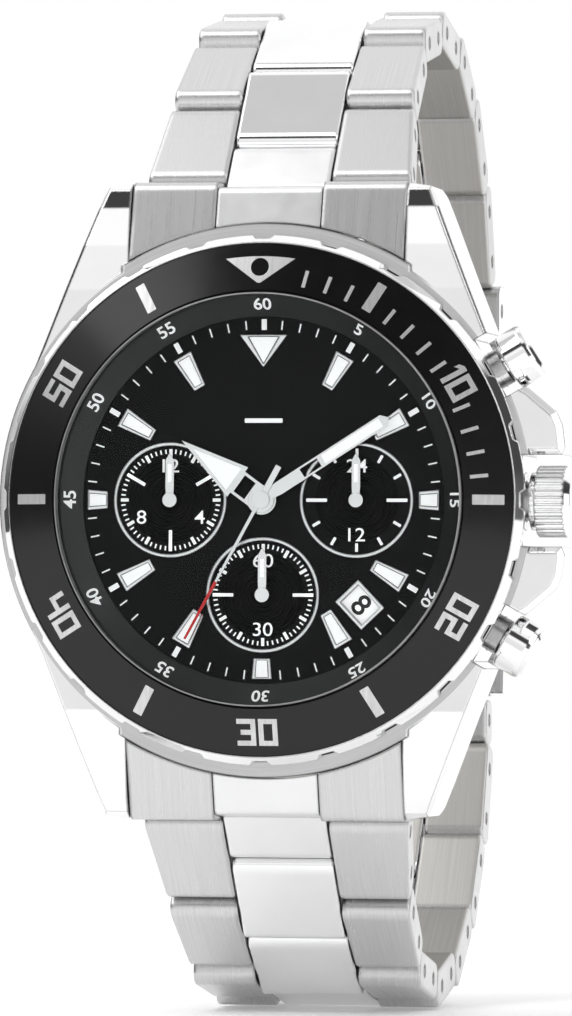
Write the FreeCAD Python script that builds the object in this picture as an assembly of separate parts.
"""Chronograph wristwatch with a turning bezel, push-pull crown, two pushers and a three-piece-link bracelet.

Frame: millimetres, dial facing -Y, 12 o'clock towards +Z, crown towards +X.
Origin: on the dial axis, at the outer face of the case back, where the watch rests on the wrist.
"""
import FreeCAD
import Part
import math
import os

from FreeCAD import Vector

os.makedirs("parts", exist_ok=True)

# ---------------------------------------------------------------- driving dimensions

LUG_GAP = 22.0                # strap width between the lugs

# case
CASE_R = 21.2
SHOULDER_R = 21.65            # the case between the lugs, where the end links fit round it
CASE_TOP = -7.6               # shoulder under the bezel
CASE_BOTTOM = -0.8
BACK_INNER = -1.25            # floor of the recess for the case back
CAVITY_R = 16.2
COLLAR_R = 17.05              # the bezel turns on this collar
COLLAR_BORE_R = 16.55
COLLAR_TOP = -9.65
CROWN_SEAT_X = 20.4
CROWN_GAP_HALF = 3.55
LUG_TIP_Z = 24.9
LUG_INNER_X = LUG_GAP / 2
LUG_FLANK = ((13.2, 23.9), (20.1, 6.4))  # straight outer side of a lug, as (X, Z)
EDGE_BREAK = 0.5              # chamfer on the top edges of the crown guards
LUG_BEVEL = (0.22, 0.3)       # width inward and depth of the bevel along each lug's outer edge

# bezel
BEZEL_R = 20.7
BEZEL_BORE_R = 17.12
BEZEL_BOTTOM = -7.75
INSERT_R = 20.0
INSERT_INNER_R = 16.3
INSERT_OUTER_Y = -9.3
INSERT_INNER_Y = -10.6
INSERT_THICK = 0.5
NOTCH_COUNT = 24
NOTCH_DEPTH = 0.33

# glass, dial and hands
CRYSTAL_R = 16.1
CRYSTAL_TOP = -11.0
CRYSTAL_BOTTOM = -9.55
CRYSTAL_EDGE = 0.12           # ground chamfer
FLANGE_R = 14.35              # inner edge of the chapter ring
FLANGE_SLOPE_R = 15.95
FLANGE_TOP = -9.33
DIAL_R = 16.0
DIAL_TOP = -8.1
DIAL_THICK = 0.4
MARKER_HEIGHT = 0.25
SUBDIAL_OFFSET = 7.4
SUBDIAL_R = 4.25
SUBDIAL_RIM_R = 4.5
SUBDIAL_DEPTH = 0.12
DATE_RADIUS = 11.23
DATE_ANGLE = 136.5
DATE_WIDE = 2.45
DATE_TALL = 1.95
DATE_RIM = 0.56               # added to both sides of the window by its frame
HOUR_HAND_Y = -8.62
MINUTE_HAND_Y = -8.90
SECONDS_HAND_Y = -9.15
SMALL_HAND_Y = -8.34
HAND_THICK = 0.15
HOUR_ANGLE = 306.0
MINUTE_ANGLE = 57.5
SECONDS_ANGLE = 208.8

# movement
MOVEMENT_R = 14.9
MOVEMENT_BACK = -2.6
MOVEMENT_TOP = -6.9
ARBOR_BORE_R = 0.9

# crown and pushers
CONTROL_Y = -4.1              # height of the crown and pusher axes
CROWN_R = 2.8
CROWN_INNER_X = 21.1
CROWN_OUTER_X = 24.0
CROWN_FLUTES = 32
PUSHER_ANGLE = 30.0
PUSHER_SEAT_R = 20.6
PUSHER_CAP_R = 2.25
PUSHER_CAP_IN = 21.6
PUSHER_CAP_OUT = 24.2
TUBE_R = 1.5
TUBE_BORE_R = 1.0
STEM_R = 0.92
SPRING_R = 1.35               # mean radius of the pusher springs
SPRING_WIRE_R = 0.11
SPRING_START = 21.43
SPRING_LENGTH = 1.74
SPRING_HALF_TURNS = 7

# bracelet
PITCH = 8.8
ROWS = 7
LINK_THICK = 3.0
LINK_END_R = 1.0
LINK_GAP = 0.2
PIVOT_INSET = PITCH / 4       # from a side link's nominal end to its pivot
CENTRE_HALF = 4.1
SIDE_INNER = 4.22
PIN_R = 0.5
PIN_PRESS_R = 0.52
PIN_RUN_R = 0.58
FIRST_PIVOT = (-0.1, 25.9)    # Y, Z
ROW_ANGLES = (42.0, 56.0, 80.0, 101.0, 122.0, 142.0, 160.0)  # from +Z towards +Y
ROW_HALF_WIDTHS = ((10.6, 9.75), (9.72, 9.35), (9.3, 9.2))   # start and end of the tapered rows
HALF_WIDTH = 9.2
SPRING_BAR_AT = (-3.4, 23.15)  # Y, Z

# clasp
COVER_HALF = 9.8
COVER_WALL = 0.8
COVER_CROWN_Y = 49.5          # outer surface at mid length
COVER_SAG = 1.2
COVER_THICK = 0.9
BLADE_THICK = 0.8
KNUCKLE_R = 1.1
LOWER_HINGE = (47.2, -14.2)   # Y, Z: cover to outer blade
UPPER_HINGE = (46.4, 13.0)    # Y, Z: outer blade to inner blade

BIG = 60.0


# ---------------------------------------------------------------- helpers

def face_of(points):
    """Flat face bounded by straight edges through the points."""
    vectors = [Vector(*p) for p in points]
    return Part.Face(Part.makePolygon(vectors + [vectors[0]]))


def prism_xz(points, y_from, y_to):
    """Outline given as (X, Z), extruded along Y."""
    return face_of([(x, y_from, z) for x, z in points]).extrude(Vector(0, y_to - y_from, 0))


def prism_yz(points, x_from, x_to):
    """Outline given as (Y, Z), extruded along X."""
    return face_of([(x_from, y, z) for y, z in points]).extrude(Vector(x_to - x_from, 0, 0))


def turned(points):
    """Outline given as (radius, Y), turned about the dial axis."""
    return face_of([(r, y, 0) for r, y in points]).revolve(Vector(0, 0, 0), Vector(0, 1, 0), 360)


def turned_x(points, y, z=0.0):
    """Outline given as (X, radius), turned about an axis along X through Y, Z."""
    face = face_of([(x, y, z + r) for x, r in points])
    return face.revolve(Vector(0, y, z), Vector(1, 0, 0), 360)


def disc(radius, y_from, y_to, x=0.0, z=0.0):
    """Cylinder along Y."""
    return Part.makeCylinder(radius, abs(y_to - y_from), Vector(x, min(y_from, y_to), z), Vector(0, 1, 0))


def ring(outer, inner, y_from, y_to, x=0.0, z=0.0):
    return disc(outer, y_from, y_to, x, z).cut(disc(inner, y_from, y_to, x, z))


def rod_x(radius, x_from, x_to, y, z):
    return Part.makeCylinder(radius, x_to - x_from, Vector(x_from, y, z), Vector(1, 0, 0))


def box(x, y, z):
    """Box from three (low, high) pairs."""
    size = [high - low for low, high in (x, y, z)]
    return Part.makeBox(size[0], size[1], size[2], Vector(x[0], y[0], z[0]))


def spun(shape, degrees):
    """Copy turned clockwise about the dial axis, as seen from the front."""
    copy = shape.copy()
    copy.rotate(Vector(0, 0, 0), Vector(0, 1, 0), degrees)
    return copy


def clock(radius, degrees):
    """X, Z of a point on the dial, clockwise from 12."""
    angle = math.radians(degrees)
    return radius * math.sin(angle), radius * math.cos(angle)


def flipped(shape):
    """Mirror image across the 3 to 9 o'clock plane."""
    return shape.mirror(Vector(0, 0, 0), Vector(0, 0, 1))


def left_copy(shape):
    return shape.mirror(Vector(0, 0, 0), Vector(1, 0, 0))


def picked_edges(shape, wanted):
    """Edges that wanted(middle, direction) picks."""
    edges = []
    for edge in shape.Edges:
        middle = edge.valueAt((edge.FirstParameter + edge.LastParameter) / 2)
        ends = edge.valueAt(edge.LastParameter) - edge.valueAt(edge.FirstParameter)
        if wanted(middle, ends):
            edges.append(edge)
    return edges


def rounded(shape, radius, wanted):
    return shape.makeFillet(radius, picked_edges(shape, wanted))


def chamfered(shape, size, wanted):
    return shape.makeChamfer(size, picked_edges(shape, wanted))


def save(name, *shapes):
    """Writes one sub-part, as one solid or a group of separate solids."""
    solids = [solid for shape in shapes for solid in shape.Solids]
    shape = solids[0] if len(solids) == 1 else Part.makeCompound(solids)
    shape.exportStep("parts/" + name + ".step")


# ---------------------------------------------------------------- case

def lug_plan():
    """Upper half of the case and lug outline, clockwise from the left, as (X, Z)."""
    right = [(LUG_INNER_X, LUG_TIP_Z), (12.8, 24.6), LUG_FLANK[0], LUG_FLANK[1], (20.5, 0.0)]
    left = [(-x, z) for x, z in reversed(right)]
    return left[:-1] + [(-LUG_INNER_X, LUG_TIP_Z), (-LUG_INNER_X, 10.0), (LUG_INNER_X, 10.0)] + right


def lug_side():
    """Side outline of the lugs, as (Y, Z)."""
    upper = [(CASE_TOP, 0.0), (CASE_TOP, 16.5), (-7.35, 20.0), (-6.9, 23.0), (-6.45, 24.4), (-5.6, LUG_TIP_Z),
             (-1.2, LUG_TIP_Z), (-0.25, 24.2), (-0.2, 22.0), (CASE_BOTTOM, 17.0), (CASE_BOTTOM, 0.0)]
    return upper


def bevel_section(z, y, share):
    """Triangle that trims the outer edge of the right lug at height z, with part of the full bevel."""
    (x_tip, z_tip), (x_root, z_root) = LUG_FLANK
    length = math.hypot(x_root - x_tip, z_tip - z_root)
    outward = Vector((z_tip - z_root) / length, 0, (x_root - x_tip) / length)
    corner = Vector(x_tip + (x_root - x_tip) * (z_tip - z) / (z_tip - z_root), y, z)
    inner = corner - outward * LUG_BEVEL[0] * share
    lower = corner + Vector(0, LUG_BEVEL[1] * share, 0)
    reach = (inner - lower) * 0.6
    outside = corner + outward - Vector(0, 1, 0)
    return Part.makePolygon([inner + reach, lower - reach, outside, inner + reach])


def lug_bevel():
    """Wedge cut away along the outer edge of the right lug, following the slope of its top."""
    top = [(25.4, -6.1, 1.0), (24.4, -6.45, 1.0), (23.0, -6.9, 1.0), (20.0, -7.35, 1.0)]
    top += [(16.5, CASE_TOP, 1.0), (12.0, CASE_TOP, 0.9), (8.6, CASE_TOP, 0.15)]
    return Part.makeLoft([bevel_section(*place) for place in top], True, True)


def lugs():
    """The two upper lugs and the shoulders that lead into them."""
    plan = prism_xz(lug_plan(), 1.0, -12.0)
    side = prism_yz(lug_side(), -BIG, BIG)
    bevel = lug_bevel()
    return plan.common(side).cut([bevel, left_copy(bevel)])


def crown_guards():
    """Shoulders above and below the crown."""
    upper = [(15.0, 11.6), (17.7, 11.2), (19.2, 9.55), (20.8, 8.75), (23.0, 6.9), (23.45, 5.9), (23.65, 4.2),
             (23.4, CROWN_GAP_HALF), (15.0, CROWN_GAP_HALF)]
    guard = prism_xz(upper, CASE_TOP, CASE_BOTTOM - 0.6)
    guard = chamfered(guard, EDGE_BREAK, lambda m, d: abs(m.y - CASE_TOP) < 1e-6 and m.x > 18.5)
    return guard.fuse(flipped(guard))


def pusher_turned(shape, sign):
    """Turns a part made along +X to the 2 o'clock (sign +1) or 4 o'clock (sign -1) pusher axis."""
    return spun(shape, -sign * PUSHER_ANGLE)


def case_middle():
    body = disc(CASE_R, CASE_TOP, CASE_BOTTOM)
    shoulder = disc(SHOULDER_R, CASE_TOP, CASE_BOTTOM)
    shoulder = shoulder.common(box((-LUG_INNER_X - 0.5, LUG_INNER_X + 0.5), (-12, 2), (-BIG, BIG)))
    upper = lugs()
    body = body.fuse([shoulder, upper, flipped(upper), crown_guards()]).removeSplitter()
    body = body.cut(box((CROWN_SEAT_X, BIG), (-12, 2), (-CROWN_GAP_HALF, CROWN_GAP_HALF)))
    for sign in (1, -1):
        seat = box((PUSHER_SEAT_R, BIG), (-12, 2), (-2.55, 2.55))
        body = body.cut(pusher_turned(seat, sign))
    body = body.fuse(ring(COLLAR_R, COLLAR_BORE_R - 0.5, CASE_TOP + 0.5, COLLAR_TOP))
    body = body.cut([
        disc(CAVITY_R, BACK_INNER + 1, -8.05),
        disc(COLLAR_BORE_R, -8.05, COLLAR_TOP - 1),
        disc(18.4, 1, BACK_INNER),
        ring(17.25, 16.35, BACK_INNER + 0.2, BACK_INNER - 0.4),
        ring(19.8, 17.6, CASE_TOP - 1, CASE_TOP + 0.5),
        rod_x(TUBE_R + 0.02, 14, 26, CONTROL_Y, 0),
    ])
    for sign in (1, -1):
        body = body.cut(pusher_turned(rod_x(TUBE_R + 0.02, 14, 26, CONTROL_Y, 0), sign))
    for side in (1, -1):
        y, z = SPRING_BAR_AT
        body = body.cut(rod_x(0.5, -12.3, 12.3, y, side * z))
    return body.removeSplitter()


def case_back():
    """Screwed case back with six key slots and a ring that reaches into the case."""
    plate = turned([(0, 0), (17.6, 0), (18.3, -0.35), (18.3, -1.2), (0, -1.2)])
    plate = plate.fuse(ring(16.1, 15.3, -1.1, -2.2))
    for step in range(6):
        plate = plate.cut(spun(box((16.9, 19), (-0.45, 1), (-1.2, 1.2)), 60 * step))
    return plate


def gaskets():
    """Crystal gasket, case back gasket."""
    crystal = turned([(15.97, -9.36), (16.53, -9.36), (16.53, -9.63), (16.13, -9.63), (16.13, -9.54),
                      (15.97, -9.54)])
    back = ring(17.2, 16.4, BACK_INNER + 0.04, BACK_INNER - 0.36)
    return crystal, back


def control_tubes():
    """Crown tube and the two pusher tubes pressed into the case wall."""
    def tube(outer_end):
        outside = rod_x(TUBE_R, 16.3, outer_end, CONTROL_Y, 0)
        return outside.cut(rod_x(TUBE_BORE_R, 16, outer_end + 1, CONTROL_Y, 0))
    return tube(22.3), pusher_turned(tube(21.3), 1), pusher_turned(tube(21.3), -1)


def bezel_click_spring():
    """Flat ring under the bezel with three spring tongues."""
    spring = ring(19.5, 17.9, -7.15, -7.35)
    for step in range(3):
        sector = prism_xz([(0, 0), clock(BIG, -5), clock(BIG, 5)], -7, -8)
        tongue = ring(19.4, 18.2, -7.34, -7.62).common(sector)
        spring = spring.fuse(spun(tongue, 120 * step))
    return spring


def bezel_ring():
    slope = (INSERT_INNER_Y - INSERT_OUTER_Y) / (INSERT_R - INSERT_INNER_R)
    seat_outer = INSERT_OUTER_Y + INSERT_THICK + 0.02
    seat_inner = seat_outer + slope * (INSERT_R - BEZEL_BORE_R)
    lip_y = INSERT_OUTER_Y - 0.12
    lip_r = INSERT_R + 0.02
    foot = BEZEL_BOTTOM - 0.15
    body = turned([(BEZEL_BORE_R, BEZEL_BOTTOM), (BEZEL_R - 0.15, BEZEL_BOTTOM), (BEZEL_R, foot),
                   (BEZEL_R, -8.45), (BEZEL_R - 0.62, lip_y), (lip_r, lip_y), (lip_r, seat_outer),
                   (BEZEL_BORE_R, seat_inner)])
    deep = BEZEL_R - NOTCH_DEPTH
    notch = prism_xz([(-1.05, BEZEL_R + 0.2), (-0.55, deep), (0.55, deep), (1.05, BEZEL_R + 0.2)], -7, -10)
    return body.cut([spun(notch, 360 / NOTCH_COUNT * step) for step in range(NOTCH_COUNT)])


def bezel_insert():
    return turned([(INSERT_R, INSERT_OUTER_Y + INSERT_THICK), (INSERT_R, INSERT_OUTER_Y),
                   (INSERT_INNER_R, INSERT_INNER_Y), (INSERT_INNER_R, INSERT_INNER_Y + INSERT_THICK)])


def crystal():
    return turned([(0, CRYSTAL_BOTTOM), (CRYSTAL_R, CRYSTAL_BOTTOM), (CRYSTAL_R, CRYSTAL_TOP + CRYSTAL_EDGE),
                   (CRYSTAL_R - CRYSTAL_EDGE, CRYSTAL_TOP), (0, CRYSTAL_TOP)])


def chapter_ring():
    return turned([(FLANGE_R, DIAL_TOP - 0.02), (FLANGE_R, DIAL_TOP - 0.15), (FLANGE_SLOPE_R, FLANGE_TOP),
                   (16.5, FLANGE_TOP), (16.5, DIAL_TOP - 0.02)])


# ---------------------------------------------------------------- dial

def subdial_centres():
    """Left (hour counter), bottom (minute counter) and right (24 hour) subdials, as (X, Z)."""
    return (-SUBDIAL_OFFSET, 0.0), (0.0, -SUBDIAL_OFFSET), (SUBDIAL_OFFSET, 0.0)


def date_window(wide, tall, y_from, y_to):
    """Upright box at the date window's place, turned with its radius."""
    half_wide, half_tall = wide / 2, tall / 2
    window = box((-half_tall, half_tall), (min(y_from, y_to), max(y_from, y_to)), (-half_wide, half_wide))
    window.translate(Vector(0, 0, DATE_RADIUS))
    return spun(window, DATE_ANGLE)


def dial():
    under = DIAL_TOP + DIAL_THICK
    plate = disc(DIAL_R, under, DIAL_TOP)
    cuts = [disc(0.95, under + 1, DIAL_TOP - 1), date_window(DATE_WIDE, DATE_TALL, under + 1, DIAL_TOP - 1)]
    for x, z in subdial_centres():
        cuts.append(disc(SUBDIAL_R, DIAL_TOP + SUBDIAL_DEPTH, DIAL_TOP - 1, x, z))
        cuts.append(disc(0.3, under + 1, DIAL_TOP - 1, x, z))
    return plate.cut(cuts)


def marker(points):
    """One applied marker with a shallow pocket for the luminous fill."""
    height = DIAL_TOP - MARKER_HEIGHT
    outer = prism_xz(points, DIAL_TOP, height)
    x_mid = sum(x for x, z in points) / len(points)
    z_mid = sum(z for x, z in points) / len(points)
    inner = [(x_mid + (x - x_mid) * 0.66, z_mid + (z - z_mid) * 0.84) for x, z in points]
    return outer.cut(prism_xz(inner, height + 0.1, height - 1))


def applied_markers():
    """Twelve hour markers, three subdial rims and the date frame, each its own solid."""
    shapes = [marker([(-1.9, 12.9), (1.9, 12.9), (0, 10.35)])]
    long_marker = marker([(-0.8, 12.95), (0.8, 12.95), (0.48, 10.1), (-0.48, 10.1)])
    short_marker = marker([(-0.8, 13.95), (0.8, 13.95), (0.66, 12.36), (-0.66, 12.36)])
    shapes += [spun(long_marker, 30 * hour) for hour in (1, 2, 4, 5, 7, 8, 10, 11)]
    shapes += [spun(short_marker, 30 * hour) for hour in (3, 6, 9)]
    for x, z in subdial_centres():
        shapes.append(ring(SUBDIAL_RIM_R, SUBDIAL_R, DIAL_TOP, DIAL_TOP - 0.1, x, z))
    frame = date_window(DATE_WIDE + DATE_RIM, DATE_TALL + DATE_RIM, DIAL_TOP, DIAL_TOP - 0.15)
    frame = frame.cut(date_window(DATE_WIDE, DATE_TALL, DIAL_TOP + 1, DIAL_TOP - 1))
    keep_clear = Part.makeCompound(shapes[1:5])
    shapes.append(frame.cut(keep_clear))
    return shapes


# ---------------------------------------------------------------- movement

def main_plate():
    plate = disc(MOVEMENT_R, -5.2, MOVEMENT_TOP)
    plate = plate.cut([disc(ARBOR_BORE_R, -3, -8), rod_x(1.9, 10.2, 13.0, CONTROL_Y, 0)])
    for x, z in subdial_centres():
        plate = plate.cut(disc(0.25, -5.9, -8, x, z))
    return plate


def bridges():
    """Rear bridges with the barrel, balance and train openings."""
    block = disc(13.9, MOVEMENT_BACK, -5.18)
    block = block.cut([
        rod_x(1.9, 10.2, 13.0, CONTROL_Y, 0),
        rod_x(0.75, 8.6, 15.5, CONTROL_Y, 0),
        disc(4.6, -2, -3.4, -6.2, 5.2),
        disc(4.4, -2, -4.6, -5.4, -6.6),
        disc(3.0, -2, -3.6, 5.4, -6.8),
        disc(3.2, -2, -3.6, 4.4, 7.0),
    ])
    return block


def movement():
    """Main plate, bridges, barrel, balance and two train wheels, and the rotor post."""
    barrel = disc(4.3, -2.75, -3.38, -6.2, 5.2)
    balance = ring(4.0, 3.4, -3.2, -3.6, -5.4, -6.6).fuse(box((-9.1, -1.7), (-3.5, -3.3), (-6.85, -6.35)))
    wheels = [disc(2.7, -2.9, -3.1, 5.4, -6.8), disc(2.9, -2.9, -3.1, 4.4, 7.0)]
    post = disc(0.6, -1.4, MOVEMENT_BACK - 0.5)
    block = bridges().cut(disc(0.6, -2, -3.1))
    return [main_plate().cut(rod_x(0.75, 8.6, 15.5, CONTROL_Y, 0)), block, barrel, balance, post] + wheels


def movement_holder():
    """Ring that centres the movement in the case."""
    holder = ring(16.1, 15.0, MOVEMENT_BACK, DIAL_TOP + DIAL_THICK)
    holder = holder.cut(rod_x(1.3, 12, 18, CONTROL_Y, 0))
    for sign in (1, -1):
        holder = holder.cut(pusher_turned(rod_x(1.3, 12, 18, CONTROL_Y, 0), sign))
    return holder


def winding_rotor():
    """Half-disc oscillating weight that hangs below its post."""
    half_plane = box((-BIG, BIG), (-3, 0), (-BIG, 0))
    rim = ring(14.4, 11.4, -1.5, -2.4).common(half_plane)
    web = ring(11.6, 1.0, -1.75, -2.15).common(half_plane)
    hub = disc(1.9, -1.6, -2.3)
    return rim.fuse([web, hub]).cut(disc(0.66, -1, -3))


def date_wheel():
    """Date ring under the dial, with inner driving teeth."""
    wheel = ring(12.9, 9.2, -7.35, -7.6)
    tooth = prism_xz([(-0.35, 9.0), (0.35, 9.0), (0.2, 9.6), (-0.2, 9.6)], -7, -8)
    return wheel.cut([spun(tooth, 360 / 31 * step) for step in range(31)])


# ---------------------------------------------------------------- hands

def blade(points, y):
    """Flat hand blade with its lower face at Y, pointing to 12."""
    return prism_xz(points, y, y - HAND_THICK)


def hour_hand():
    """Arrow hand with an open square between the hub and the head."""
    y = HOUR_HAND_Y
    head = blade([(-1.42, 2.35), (0, 7.9), (1.42, 2.35)], y)
    frame = blade([(-1.0, 0.4), (-1.0, 2.5), (1.0, 2.5), (1.0, 0.4)], y)
    window = prism_xz([(-0.77, 1.15), (-0.77, 2.2), (0.77, 2.2), (0.77, 1.15)], y + 1, y - 1)
    hub = disc(1.15, y, y - HAND_THICK)
    pipe = disc(0.82, -6.4, y)
    hand = head.fuse([frame.cut(window), hub, pipe]).cut(disc(0.58, -6, -10))
    return spun(hand, HOUR_ANGLE)


def minute_hand():
    """Baton hand with an open slot near the hub."""
    y = MINUTE_HAND_Y
    half = 0.52
    outline = [(-0.4, 0.7), (-half, 1.6), (-half, 11.45), (0, 11.95), (half, 11.45), (half, 1.6), (0.4, 0.7)]
    window = prism_xz([(-0.37, 3.85), (-0.37, 5.45), (0.37, 5.45), (0.37, 3.85)], y + 1, y - 1)
    hub = disc(1.0, y, y - HAND_THICK)
    pipe = disc(0.5, -5.9, y)
    hand = blade(outline, y).cut(window).fuse([hub, pipe]).cut(disc(0.3, -5, -10))
    return spun(hand, MINUTE_ANGLE)


def chrono_seconds_hand():
    y = SECONDS_HAND_Y
    needle = blade([(-0.14, 0.5), (-0.07, 12.4), (0.07, 12.4), (0.14, 0.5)], y)
    tail = blade([(-0.24, -3.0), (-0.24, -0.5), (0.24, -0.5), (0.24, -3.0)], y)
    cap = disc(0.7, y, y - HAND_THICK - 0.07)
    pin = disc(0.22, -5.5, y)
    return spun(needle.fuse([tail, cap, pin]), SECONDS_ANGLE)


def small_hand(centre):
    y = SMALL_HAND_Y
    outline = [(-0.3, 0.3), (-0.34, 1.0), (-0.34, 3.1), (0, 3.7), (0.34, 3.1), (0.34, 1.0), (0.3, 0.3)]
    hand = prism_xz(outline, y, y - 0.1).fuse([disc(0.57, y + 0.06, y - 0.14), disc(0.17, -6.1, y)])
    hand.translate(Vector(centre[0], 0, centre[1]))
    return hand


# ---------------------------------------------------------------- crown and pushers

def crown():
    cap = turned_x([(CROWN_INNER_X, 0), (CROWN_INNER_X, CROWN_R - 0.15), (CROWN_INNER_X + 0.15, CROWN_R),
                    (23.3, CROWN_R), (23.45, CROWN_R - 0.25), (23.85, 2.1), (CROWN_OUTER_X, 1.2),
                    (CROWN_OUTER_X, 0)], CONTROL_Y)
    cap = cap.fuse(rod_x(2.3, 20.65, CROWN_INNER_X + 0.1, CONTROL_Y, 0))
    flute = rod_x(0.2, CROWN_INNER_X - 0.1, 23.4, CONTROL_Y, CROWN_R + 0.06)
    flutes = []
    for step in range(CROWN_FLUTES):
        groove = flute.copy()
        groove.rotate(Vector(0, CONTROL_Y, 0), Vector(1, 0, 0), 360 / CROWN_FLUTES * step)
        flutes.append(groove)
    cap = cap.cut(flutes)
    return cap.cut([rod_x(1.6, 20, 22.9, CONTROL_Y, 0), rod_x(0.5, 22.5, 23.4, CONTROL_Y, 0)])


def crown_stem():
    """Stem that runs in the crown tube, with a square end for the setting pinion."""
    stem = rod_x(0.9, 14.6, 22.9, CONTROL_Y, 0).fuse(rod_x(0.48, 22.8, 23.4, CONTROL_Y, 0))
    square = box((9.3, 14.7), (CONTROL_Y - 0.35, CONTROL_Y + 0.35), (-0.35, 0.35))
    return stem.fuse(square)


def setting_pinion():
    """Toothed pinion with a square hole that slides on the stem."""
    body = rod_x(1.35, 10.7, 12.5, CONTROL_Y, 0)
    grooves = []
    for step in range(12):
        groove = rod_x(0.22, 10.6, 11.7, CONTROL_Y, 1.4)
        groove.rotate(Vector(0, CONTROL_Y, 0), Vector(1, 0, 0), 30 * step)
        grooves.append(groove)
    grooves.append(box((10, 13), (CONTROL_Y - 0.42, CONTROL_Y + 0.42), (-0.42, 0.42)))
    return body.cut(grooves)


def pusher(sign):
    """Hollow domed cap on a stem that runs in the tube."""
    cap = turned_x([(PUSHER_CAP_IN, 0), (PUSHER_CAP_IN, PUSHER_CAP_R - 0.1),
                    (PUSHER_CAP_IN + 0.1, PUSHER_CAP_R), (23.4, PUSHER_CAP_R), (23.75, PUSHER_CAP_R - 0.12),
                    (24.02, 1.75), (24.15, 1.0), (PUSHER_CAP_OUT, 0)], CONTROL_Y)
    cap = cap.cut(rod_x(1.75, 21, 23.3, CONTROL_Y, 0))
    cap = cap.fuse(rod_x(STEM_R, 15.9, 23.4, CONTROL_Y, 0))
    return pusher_turned(cap, sign)


def pusher_spring(sign):
    """Return spring round the seat, wound as half turns that each climb one share of its length."""
    climb = SPRING_LENGTH / SPRING_HALF_TURNS
    coil_r = math.hypot(SPRING_R, climb / 2)
    lean = math.degrees(math.atan2(climb / 2, SPRING_R))
    spring = None
    for step in range(SPRING_HALF_TURNS):
        coil = Part.makeTorus(coil_r, SPRING_WIRE_R, Vector(0, 0, 0), Vector(0, 0, 1), 0, 360, 180)
        coil.rotate(Vector(0, 0, 0), Vector(0, 1, 0), lean)
        coil.rotate(Vector(0, 0, 0), Vector(0, 0, 1), 180 * step)
        coil.translate(Vector(0, 0, (step + 0.5) * climb))
        spring = coil if spring is None else spring.fuse(coil)
    spring.rotate(Vector(0, 0, 0), Vector(0, 1, 0), 90)
    spring.translate(Vector(SPRING_START, CONTROL_Y, 0))
    return pusher_turned(spring, sign)


# ---------------------------------------------------------------- bracelet

def pivots():
    """Hinge axes along one side of the bracelet, as (Y, Z)."""
    points = [FIRST_PIVOT]
    for angle in ROW_ANGLES:
        y, z = points[-1]
        turn = math.radians(angle)
        points.append((y + PITCH * math.sin(turn), z + PITCH * math.cos(turn)))
    return points


def placed(shape, pivot, angle):
    """Moves a part made with its length along Y and its outer face up (+Z) into its row."""
    copy = shape.copy()
    copy.rotate(Vector(0, 0, 0), Vector(1, 0, 0), 90 - angle)
    copy.translate(Vector(0, pivot[0], pivot[1]))
    return copy


def link_bar(x_inner, x_start, x_end, start, end):
    """Link along Y from start to end with rounded ends, from x_inner out to x_start tapering to x_end."""
    half = LINK_THICK / 2
    plan = [(x_inner, start, -half), (x_start, start, -half), (x_end, end, -half), (x_inner, end, -half)]
    bar = face_of(plan).extrude(Vector(0, 0, LINK_THICK))
    bar = rounded(bar, LINK_END_R, lambda m, d: abs(d.y) < 1e-6 and abs(d.z) < 1e-6)
    flank = bar_flanks(x_inner, x_start, x_end, start, end)
    return rounded(bar, 0.22, flank)


def bar_flanks(x_inner, x_start, x_end, start, end):
    """Picks the edges that lie in a link's two flanks."""
    def wanted(middle, ends):
        share = (middle.y - start) / (end - start)
        outer = x_start + (x_end - x_start) * share
        return abs(middle.x - x_inner) < 1e-4 or abs(middle.x - outer) < 1e-4
    return wanted


def side_pair(index):
    """Side links of a row, with their hinge pin and joining pin, in the row's own frame."""
    x_start, x_end = ROW_HALF_WIDTHS[index] if index < len(ROW_HALF_WIDTHS) else (HALF_WIDTH, HALF_WIDTH)
    start = -PIVOT_INSET + LINK_GAP / 2
    end = PITCH - PIVOT_INSET - LINK_GAP / 2
    right = link_bar(SIDE_INNER, x_start, x_end, start, end)
    bores = [rod_x(PIN_PRESS_R, -BIG, BIG, y, 0) for y in (0.0, PITCH / 2)]
    right = right.cut(bores)
    pin_half = x_end - 0.35
    pins = [rod_x(PIN_R, -pin_half, pin_half, y, 0) for y in (0.0, PITCH / 2)]
    return [right, left_copy(right)] + pins


def centre_link(start, end, bores):
    bar = link_bar(-CENTRE_HALF, CENTRE_HALF, CENTRE_HALF, start, end)
    return bar.cut([rod_x(radius, -BIG, BIG, y, 0) for y, radius in bores])


def row_centre():
    start = PIVOT_INSET + LINK_GAP / 2
    end = PITCH + PIVOT_INSET - LINK_GAP / 2
    return centre_link(start, end, [(PITCH / 2, PIN_PRESS_R), (PITCH, PIN_RUN_R)])


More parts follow.
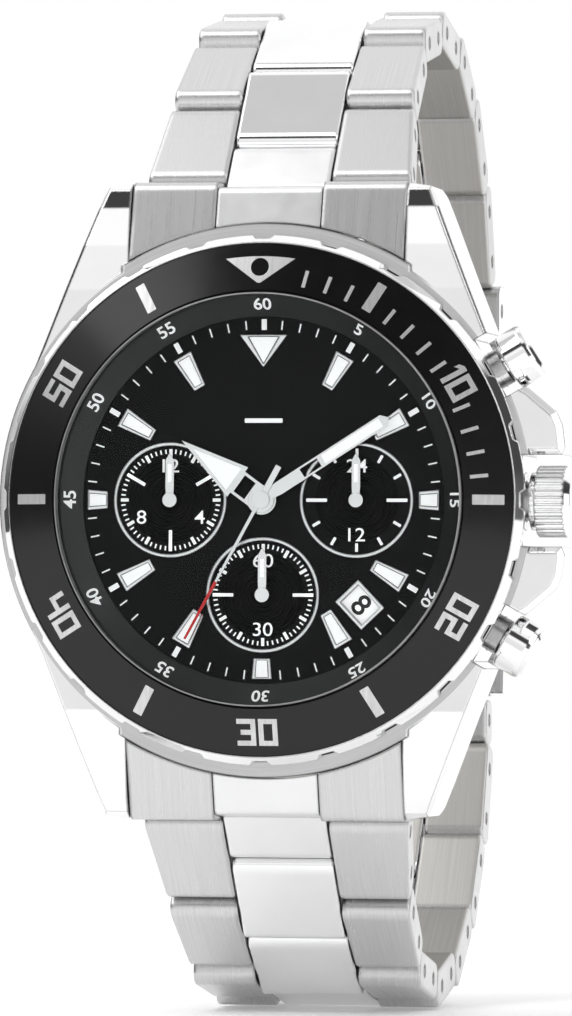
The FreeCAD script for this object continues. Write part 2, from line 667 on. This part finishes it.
def end_link():
    """Upper end link: two brushed cheeks, a lower polished middle and the tongue of the first hinge."""
    y_first, z_first = FIRST_PIVOT
    outline = [(-7.75, 17.0), (-7.75, 18.9), (-5.75, 25.05), (-0.9, 25.05), (-0.9, 17.0)]
    cheeks = prism_yz(outline, -LUG_INNER_X + 0.08, LUG_INNER_X - 0.08)
    cheeks = rounded(cheeks, 0.9, lambda m, d: abs(m.z - 25.05) < 0.01 and m.y < -5 and abs(d.x) > 1)
    middle = box((-4.25, 4.25), (-12, 2), (15, BIG))
    cheeks = cheeks.cut([middle, rod_x(PIVOT_INSET + 0.15, -BIG, BIG, y_first, z_first)])
    centre = prism_yz([(-7.2, 17.0), (-7.2, 20.4), (-5.9, 24.55), (-1.6, 24.9), (-0.9, 17.0)], -4.15, 4.15)
    centre = rounded(centre, 0.6, lambda m, d: abs(m.z - 24.55) < 0.01 and abs(d.x) > 1)
    root = box((-4.4, 4.4), (-5.5, -1.2), (17.0, 22.6))
    tongue = link_bar(-CENTRE_HALF, CENTRE_HALF, CENTRE_HALF, -3.6, PIVOT_INSET - LINK_GAP / 2)
    tongue = placed(tongue, FIRST_PIVOT, ROW_ANGLES[0])
    neck = prism_yz([(-5.2, 22.8), (-2.0, 24.95), (-0.3, 23.3), (-1.0, 21.0)], -CENTRE_HALF, CENTRE_HALF)
    body = cheeks.fuse([centre, root, tongue, neck])
    bar_y, bar_z = SPRING_BAR_AT
    body = body.cut([
        disc(SHOULDER_R + 0.08, 2, -12),
        rod_x(0.86, -BIG, BIG, bar_y, bar_z),
        rod_x(PIN_RUN_R, -BIG, BIG, y_first, z_first),
    ])
    return body.removeSplitter()


def spring_bar():
    y, z = SPRING_BAR_AT
    return rod_x(0.8, -10.3, 10.3, y, z).fuse(rod_x(0.46, -12.1, 12.1, y, z))


# ---------------------------------------------------------------- clasp

def bowed_plate(points, thickness, half_width):
    """Plate along an arc through three (Y, Z) points, extruded along X."""
    (y0, z0), (y1, z1), (y2, z2) = points
    left = -half_width
    outer = Part.Arc(Vector(left, y0, z0), Vector(left, y1, z1), Vector(left, y2, z2)).toShape()
    inner = outer.copy()
    inner.translate(Vector(0, -thickness, 0))
    near_end = Part.LineSegment(Vector(left, y0 - thickness, z0), Vector(left, y0, z0)).toShape()
    far_end = Part.LineSegment(Vector(left, y2 - thickness, z2), Vector(left, y2, z2)).toShape()
    edges = Part.__sortEdges__([outer, inner, near_end, far_end])
    return Part.Face(Part.Wire(edges)).extrude(Vector(2 * half_width, 0, 0))


def knuckle(at, x_from, x_to, bore):
    y, z = at
    return rod_x(KNUCKLE_R, x_from, x_to, y, z).cut(rod_x(bore, x_from, x_to, y, z))


def cover_outer_y(z):
    """Outer surface of the clasp cover at height z."""
    return COVER_CROWN_Y - COVER_SAG * (z / 17.0) ** 2


def clasp_cover():
    """Channel-shaped cover with two arms that hold the spring bar of the last row."""
    last_y, last_z = pivots()[-1]
    low, high = -15.05, 15.6
    plate = bowed_plate([(cover_outer_y(low), low), (COVER_CROWN_Y, 0), (cover_outer_y(high), high)],
                        COVER_THICK, COVER_HALF)
    outline = [(cover_outer_y(-12.0) - 0.4, -12.2), (COVER_CROWN_Y - 0.3, 0.0),
               (cover_outer_y(high) - 0.4, high), (45.4, high), (45.9, 0.0), (45.6, -12.2)]
    wall = prism_yz(outline, COVER_HALF - COVER_WALL, COVER_HALF)
    arm = prism_yz([(last_y - 1.5, high - 1.2), (last_y + 2.0, high - 1.2), (last_y + 2.0, last_z + 2.1),
                    (last_y - 1.5, last_z + 2.1)], 4.4, COVER_HALF)
    arm = rounded(arm, 1.0, lambda m, d: abs(d.x) > 1 and m.z > last_z + 1)
    side_knuckle = knuckle(LOWER_HINGE, 2.9, COVER_HALF - 0.9, 0.5)
    half = [wall, arm, side_knuckle]
    body = plate.fuse(half + [left_copy(shape) for shape in half])
    body = body.cut([
        box((-4.4, 4.4), (40, 55), (last_z - PIVOT_INSET - 0.25, 30)),
        box((-2.85, 2.85), (40, 55), (-20, LOWER_HINGE[1] + KNUCKLE_R + 0.25)),
        rod_x(0.6, -BIG, BIG, last_y, last_z),
        rod_x(0.52, -BIG, BIG, LOWER_HINGE[0], LOWER_HINGE[1]),
    ])
    adjust = [rod_x(0.5, -BIG, BIG, last_y + 0.2, last_z - 3.9 - 2.4 * step) for step in range(3)]
    return body.cut(adjust).removeSplitter()


def clasp_outer_blade():
    lower_y, lower_z = LOWER_HINGE
    upper_y, upper_z = UPPER_HINGE
    ends = (lower_y + 0.45, lower_z + 0.2), (upper_y + 1.05, upper_z - 0.2)
    plate = bowed_plate([ends[0], (48.15, 0), ends[1]], BLADE_THICK, 5.5)
    for span in ((lower_z - 2, lower_z + 1.5), (upper_z - 1.35, upper_z + 2)):
        beside_knuckle = box((2.7, 5.6), (40, 52), span)
        plate = plate.cut([beside_knuckle, left_copy(beside_knuckle)])
    barrels = [rod_x(KNUCKLE_R, -2.6, 2.6, *LOWER_HINGE), rod_x(KNUCKLE_R, -2.5, 2.5, *UPPER_HINGE)]
    body = plate.fuse(barrels)
    return body.cut([rod_x(0.58, -BIG, BIG, *LOWER_HINGE), rod_x(0.58, -BIG, BIG, *UPPER_HINGE)])


def clasp_inner_blade():
    """Blade with a fork that is pinned to the lower half of the bracelet."""
    last_y, last_z = pivots()[-1]
    fork = link_bar(SIDE_INNER, 8.9, 8.9, -PIVOT_INSET + LINK_GAP / 2, PIVOT_INSET - 0.45)
    fork = fork.cut(rod_x(PIN_PRESS_R, -BIG, BIG, 0, 0))
    fork.rotate(Vector(0, 0, 0), Vector(1, 0, 0), 90)
    fork = fork.mirror(Vector(0, 0, 0), Vector(0, 1, 0))
    fork.translate(Vector(0, last_y, -last_z))
    low_end = (45.65, -last_z + 1.4)
    high_end = (UPPER_HINGE[0] - 0.25, UPPER_HINGE[1] - 0.1)
    plate = bowed_plate([low_end, (46.85, -1.0), high_end], BLADE_THICK, 5.5)
    shoulder = bowed_plate([low_end, (45.75, -14.6), (45.8, -13.2)], BLADE_THICK, 8.7)
    plate = plate.fuse(shoulder).cut([
        box((-4.25, 4.25), (40, 52), (-30, -last_z + PIVOT_INSET + 0.15)),
        box((-2.65, 2.65), (40, 52), (UPPER_HINGE[1] - 1.35, 20)),
    ])
    barrel = rod_x(KNUCKLE_R, 2.7, 5.5, *UPPER_HINGE)
    body = plate.fuse([fork, left_copy(fork), barrel, left_copy(barrel)])
    return body.cut(rod_x(0.52, -BIG, BIG, *UPPER_HINGE))


# ---------------------------------------------------------------- build

def build_head():
    save("case_middle", case_middle())
    save("case_back", case_back())
    save("gaskets", *gaskets())
    save("control_tubes", *control_tubes())
    save("bezel_click_spring", bezel_click_spring())
    save("bezel_ring", bezel_ring())
    save("bezel_insert", bezel_insert())
    save("crystal", crystal())
    save("chapter_ring", chapter_ring())
    save("dial", dial())
    save("applied_markers", *applied_markers())
    save("movement", *movement())
    save("movement_holder", movement_holder())
    save("winding_rotor", winding_rotor())
    save("date_wheel", date_wheel())
    save("hour_hand", hour_hand())
    save("minute_hand", minute_hand())
    save("chrono_seconds_hand", chrono_seconds_hand())
    left, bottom, right = subdial_centres()
    save("hour_counter_hand", small_hand(left))
    save("minute_counter_hand", small_hand(bottom))
    save("day_hand_24h", small_hand(right))


def build_controls():
    save("crown", crown(), crown_stem())
    save("setting_pinion", setting_pinion())
    save("pusher_2", pusher(1))
    save("pusher_4", pusher(-1))
    save("pusher_2_spring", pusher_spring(1))
    save("pusher_4_spring", pusher_spring(-1))


def build_bracelet():
    save("end_links", end_link(), flipped(end_link()))
    save("spring_bars", spring_bar(), flipped(spring_bar()))
    points = pivots()
    bar = rod_x(PIN_R, -3.9, 3.9, *points[-1])
    for index in range(ROWS):
        sides = [placed(shape, points[index], ROW_ANGLES[index]) for shape in side_pair(index)]
        centre = placed(row_centre(), points[index], ROW_ANGLES[index])
        number = str(index + 1)
        retracted_bar = [bar] if index == ROWS - 1 else []
        save("row_12_" + number + "_sides", *sides)
        save("row_12_" + number + "_centre", centre, *retracted_bar)
        save("row_6_" + number + "_sides", *[flipped(shape) for shape in sides])
        save("row_6_" + number + "_centre", flipped(centre))


def build_clasp():
    last_y, last_z = pivots()[-1]
    lower_pin = rod_x(PIN_R, -8.6, 8.6, *LOWER_HINGE)
    upper_pin = rod_x(PIN_R, -5.3, 5.3, *UPPER_HINGE)
    bracelet_pin = rod_x(PIN_R, -8.6, 8.6, last_y, -last_z)
    save("clasp_cover", clasp_cover(), lower_pin)
    save("clasp_outer_blade", clasp_outer_blade())
    save("clasp_inner_blade", clasp_inner_blade(), upper_pin, bracelet_pin)


build_head()
build_controls()
build_bracelet()
build_clasp()
